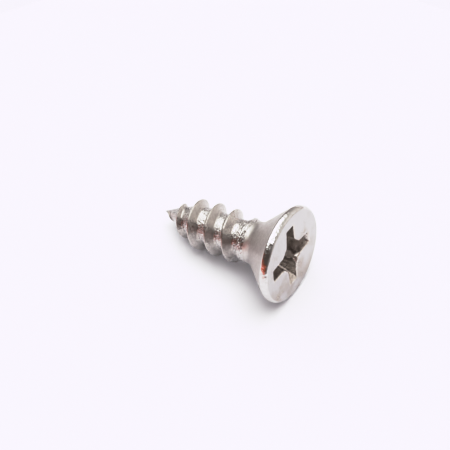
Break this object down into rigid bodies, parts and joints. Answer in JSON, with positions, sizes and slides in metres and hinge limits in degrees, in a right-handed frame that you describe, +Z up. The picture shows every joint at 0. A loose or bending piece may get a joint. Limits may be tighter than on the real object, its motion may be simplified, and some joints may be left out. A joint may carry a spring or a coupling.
{
  "type": "wood screw",
  "caption": "Short countersunk wood screw with a flat head, a cross recess, a coarse right-hand thread and a sharp gimlet point.",
  "frame": {"origin": "centre of the flat of the head, on the screw's axis", "axes": "+X along the screw out of the head, the point towards -X, +Z up, +Y by the right-hand rule"},
  "size_m": [0.0127, 0.0078, 0.0078],
  "materials": {
    "plated_steel": "bright nickel plate, satin on the flat of the head",
    "rolled_steel": "the same plate, rough where the thread rolls run out"
  },
  "bodies": {
    "root": {"head": "plated_steel", "neck": "plated_steel", "core": "plated_steel", "thread": "plated_steel", "thread_runout": "rolled_steel", "point": "plated_steel", "point_thread": "plated_steel"}
  },
  "joints": []
}
